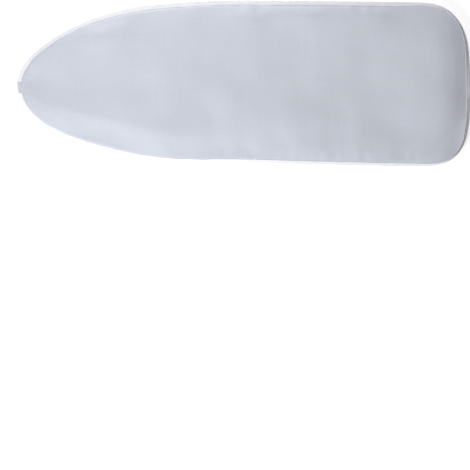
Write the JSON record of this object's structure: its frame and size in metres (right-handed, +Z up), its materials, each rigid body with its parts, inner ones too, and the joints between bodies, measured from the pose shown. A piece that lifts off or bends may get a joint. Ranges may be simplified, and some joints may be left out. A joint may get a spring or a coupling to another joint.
{
  "type": "ironing board cover",
  "caption": "Padded ironing board cover with a pointed nose, a metallised face, foam and felt underneath, and an elastic cord in a white bound hem.",
  "frame": {"origin": "on the ground under the middle of the cover's length and width", "axes": "+X along the length towards the square end, so the nose points along -X; +Z up, out of the metallised face"},
  "size_m": [1.29, 0.468, 0.0189],
  "materials": {
    "metallised_cotton": "silver-grey metallised plain weave with a soft sheen",
    "foam": "matt white open-cell foam",
    "felt": "matt pale grey needled felt",
    "white_tape": "matt white folded binding",
    "elastic": "matt braided white elastic",
    "grey_tape": "matt grey woven tape"
  },
  "bodies": {
    "root": {"face_fabric": "metallised_cotton", "foam_backing": "foam", "felt_pad": "felt", "hem_tape": "white_tape", "elastic_cord": "elastic", "nose_tab": "grey_tape"}
  },
  "joints": []
}
